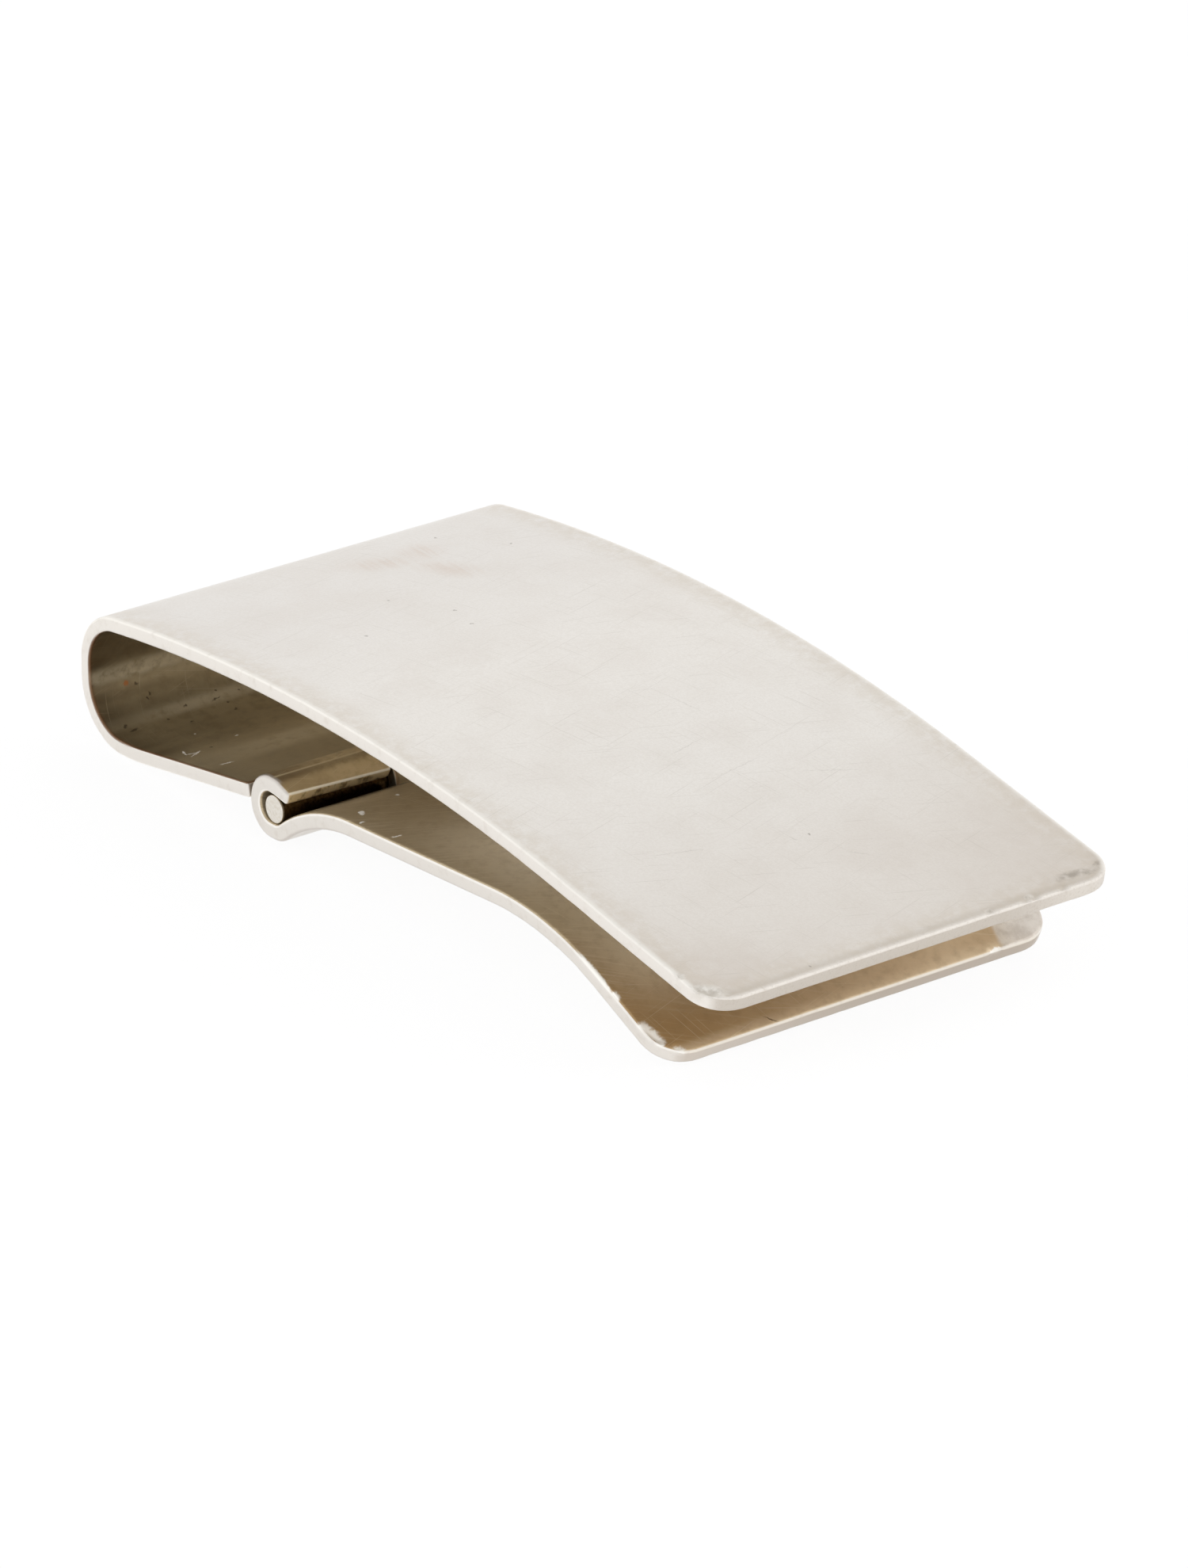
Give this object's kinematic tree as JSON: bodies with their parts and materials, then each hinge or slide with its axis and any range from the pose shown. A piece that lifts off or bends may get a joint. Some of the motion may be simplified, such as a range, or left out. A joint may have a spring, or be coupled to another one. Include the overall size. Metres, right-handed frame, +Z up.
{
  "type": "hinged money clip",
  "caption": "Bowed metal money clip bent from one strip into a loop, with a leaf that swings on a rolled knuckle hinge and grips folded notes against the face plate.",
  "frame": {"origin": "on the surface that the clip stands on, under the middle of its outline", "axes": "+X along the clip towards the open lip, +Y across it along the hinge pin, +Z up through the face plate"},
  "size_m": [0.0542, 0.0254, 0.0091],
  "materials": {
    "satin_silver": "fine satin silver outside, polished edges, tarnished brown inside",
    "worn_silver": "polished silver with brown tarnish and a worn, nicked rim",
    "pin_silver": "drawn silver wire with flat polished ends"
  },
  "bodies": {
    "body": {"spring_body": "satin_silver", "hinge_pin": "pin_silver"},
    "leaf": {"clip_leaf": "worn_silver"}
  },
  "joints": [
    {"name": "leaf_hinge", "type": "hinge", "parent": "body", "child": "leaf", "pos_m": [-0.00961, 0, 0.00205], "axis": [0, 1, 0], "range_deg": [-5, 150]}
  ]
}
